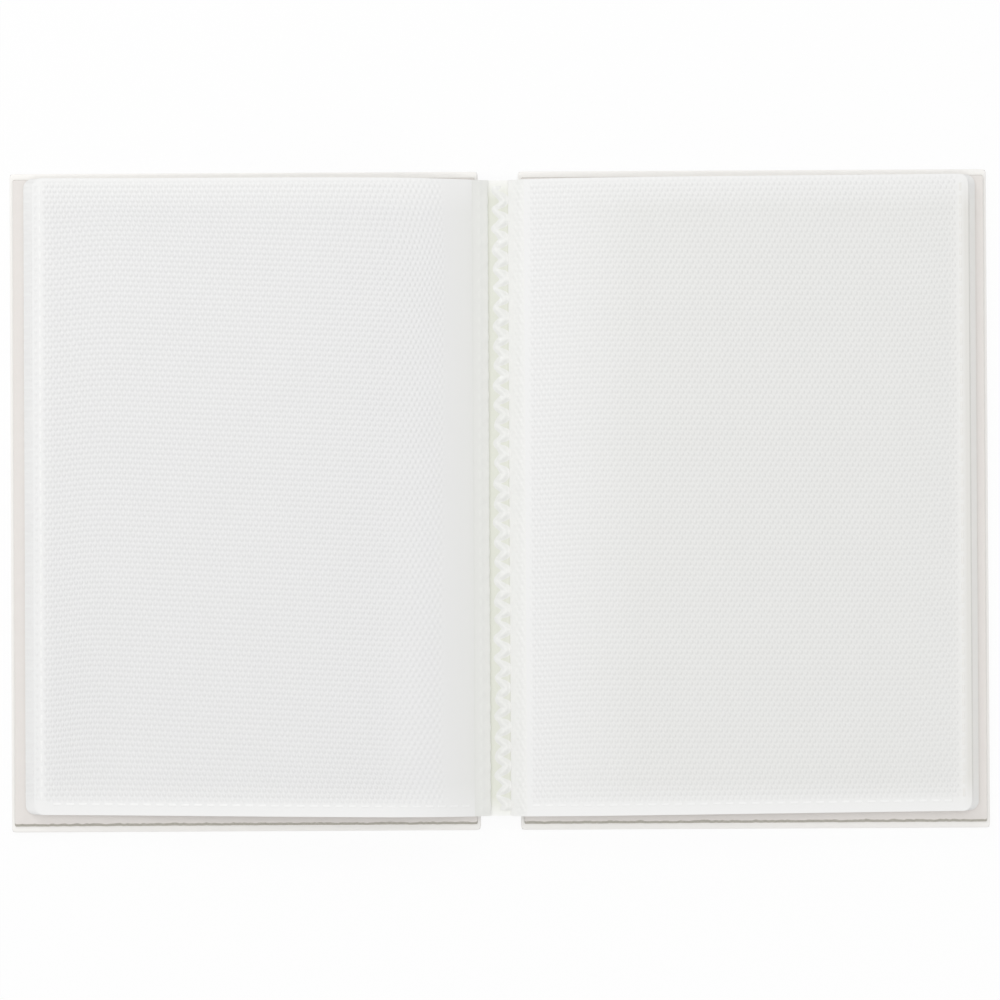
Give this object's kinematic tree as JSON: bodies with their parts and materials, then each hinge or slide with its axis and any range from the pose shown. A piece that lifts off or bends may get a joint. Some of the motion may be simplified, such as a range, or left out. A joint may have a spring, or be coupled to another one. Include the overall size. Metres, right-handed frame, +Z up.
{
  "type": "mini photo album",
  "caption": "Small photo album lying open: two paper-wrapped boards joined by a welded block of embossed pocket leaves for prints.",
  "frame": {"origin": "middle of the open album, on the surface that it lies on", "axes": "+X to the right across the open album, +Y towards the pocket mouths, +Z up"},
  "size_m": [0.2038, 0.1374, 0.0053],
  "materials": {
    "cover_paper": "matt white wrapping paper",
    "liner_card": "matt pale grey card",
    "grey_board": "bare grey board",
    "pocket_film": "milky embossed polypropylene film",
    "clear_film": "smooth polypropylene film",
    "weld": "fused polypropylene"
  },
  "bodies": {
    "spine": {"spine_bar": "weld", "wave_weld": "weld", "front_margins": "pocket_film", "back_margins": "pocket_film"},
    "front_cover": {"front_board": "grey_board", "front_wrap": "cover_paper", "front_flap": "clear_film", "front_liner": "liner_card"},
    "back_cover": {"back_board": "grey_board", "back_wrap": "cover_paper", "back_flap": "clear_film", "back_liner": "liner_card"},
    "leaf_01": {"leaf_01_front_film": "pocket_film", "leaf_01_back_film": "pocket_film", "leaf_01_seam": "weld"},
    "leaf_02": {"leaf_02_front_film": "pocket_film", "leaf_02_back_film": "pocket_film", "leaf_02_seam": "weld"},
    "leaf_03": {"leaf_03_front_film": "pocket_film", "leaf_03_back_film": "pocket_film", "leaf_03_seam": "weld"},
    "leaf_04": {"leaf_04_front_film": "pocket_film", "leaf_04_back_film": "pocket_film", "leaf_04_seam": "weld"},
    "leaf_05": {"leaf_05_front_film": "pocket_film", "leaf_05_back_film": "pocket_film", "leaf_05_seam": "weld"},
    "leaf_06": {"leaf_06_front_film": "pocket_film", "leaf_06_back_film": "pocket_film", "leaf_06_seam": "weld"},
    "leaf_07": {"leaf_07_front_film": "pocket_film", "leaf_07_back_film": "pocket_film", "leaf_07_seam": "weld"},
    "leaf_08": {"leaf_08_front_film": "pocket_film", "leaf_08_back_film": "pocket_film", "leaf_08_seam": "weld"},
    "leaf_09": {"leaf_09_front_film": "pocket_film", "leaf_09_back_film": "pocket_film", "leaf_09_seam": "weld"},
    "leaf_10": {"leaf_10_front_film": "pocket_film", "leaf_10_back_film": "pocket_film", "leaf_10_seam": "weld"},
    "leaf_11": {"leaf_11_front_film": "pocket_film", "leaf_11_back_film": "pocket_film", "leaf_11_seam": "weld"},
    "leaf_12": {"leaf_12_front_film": "pocket_film", "leaf_12_back_film": "pocket_film", "leaf_12_seam": "weld"}
  },
  "joints": [
    {"name": "front_cover_fold", "type": "hinge", "parent": "spine", "child": "front_cover", "pos_m": [-0.0042, 0, 0.00187], "axis": [0, 1, 0], "range_deg": [0, 90], "deforming": ["front_margins"]},
    {"name": "back_cover_fold", "type": "hinge", "parent": "spine", "child": "back_cover", "pos_m": [0.0042, 0, 0.00187], "axis": [0, -1, 0], "range_deg": [0, 90], "deforming": ["back_margins"]},
    {"name": "leaf_01_turn", "type": "hinge", "parent": "front_cover", "child": "leaf_01", "pos_m": [-0.00665, 0, 0.00275], "axis": [0, -1, 0], "range_deg": [-2.4, 0]},
    {"name": "leaf_02_turn", "type": "hinge", "parent": "front_cover", "child": "leaf_02", "pos_m": [-0.00635, 0, 0.00315], "axis": [0, -1, 0], "range_deg": [-4.8, 0]},
    {"name": "leaf_03_turn", "type": "hinge", "parent": "front_cover", "child": "leaf_03", "pos_m": [-0.00605, 0, 0.00355], "axis": [0, -1, 0], "range_deg": [-7.2, 0]},
    {"name": "leaf_04_turn", "type": "hinge", "parent": "front_cover", "child": "leaf_04", "pos_m": [-0.00575, 0, 0.00395], "axis": [0, -1, 0], "range_deg": [-9.6, 0]},
    {"name": "leaf_05_turn", "type": "hinge", "parent": "front_cover", "child": "leaf_05", "pos_m": [-0.00545, 0, 0.00435], "axis": [0, -1, 0], "range_deg": [-12, 0]},
    {"name": "leaf_06_turn", "type": "hinge", "parent": "leaf_07", "child": "leaf_06", "pos_m": [0.00545, 0, 0.00515], "axis": [0, 1, 0], "range_deg": [-145, 0]},
    {"name": "leaf_07_turn", "type": "hinge", "parent": "back_cover", "child": "leaf_07", "pos_m": [0.0057, 0, 0.00475], "axis": [0, 1, 0], "range_deg": [-18, 0]},
    {"name": "leaf_08_turn", "type": "hinge", "parent": "back_cover", "child": "leaf_08", "pos_m": [0.00595, 0, 0.00435], "axis": [0, 1, 0], "range_deg": [-15, 0]},
    {"name": "leaf_09_turn", "type": "hinge", "parent": "back_cover", "child": "leaf_09", "pos_m": [0.0062, 0, 0.00395], "axis": [0, 1, 0], "range_deg": [-12, 0]},
    {"name": "leaf_10_turn", "type": "hinge", "parent": "back_cover", "child": "leaf_10", "pos_m": [0.00645, 0, 0.00355], "axis": [0, 1, 0], "range_deg": [-9, 0]},
    {"name": "leaf_11_turn", "type": "hinge", "parent": "back_cover", "child": "leaf_11", "pos_m": [0.0067, 0, 0.00315], "axis": [0, 1, 0], "range_deg": [-6, 0]},
    {"name": "leaf_12_turn", "type": "hinge", "parent": "back_cover", "child": "leaf_12", "pos_m": [0.00695, 0, 0.00275], "axis": [0, 1, 0], "range_deg": [-3, 0]}
  ],
  "couplings": [
    {"joint": "leaf_01_turn", "follows": "leaf_05_turn", "ratio": 0.2},
    {"joint": "leaf_02_turn", "follows": "leaf_05_turn", "ratio": 0.4},
    {"joint": "leaf_03_turn", "follows": "leaf_05_turn", "ratio": 0.6},
    {"joint": "leaf_04_turn", "follows": "leaf_05_turn", "ratio": 0.8},
    {"joint": "leaf_08_turn", "follows": "leaf_07_turn", "ratio": 0.83333},
    {"joint": "leaf_09_turn", "follows": "leaf_07_turn", "ratio": 0.66667},
    {"joint": "leaf_10_turn", "follows": "leaf_07_turn", "ratio": 0.5},
    {"joint": "leaf_11_turn", "follows": "leaf_07_turn", "ratio": 0.33333},
    {"joint": "leaf_12_turn", "follows": "leaf_07_turn", "ratio": 0.16667}
  ]
}
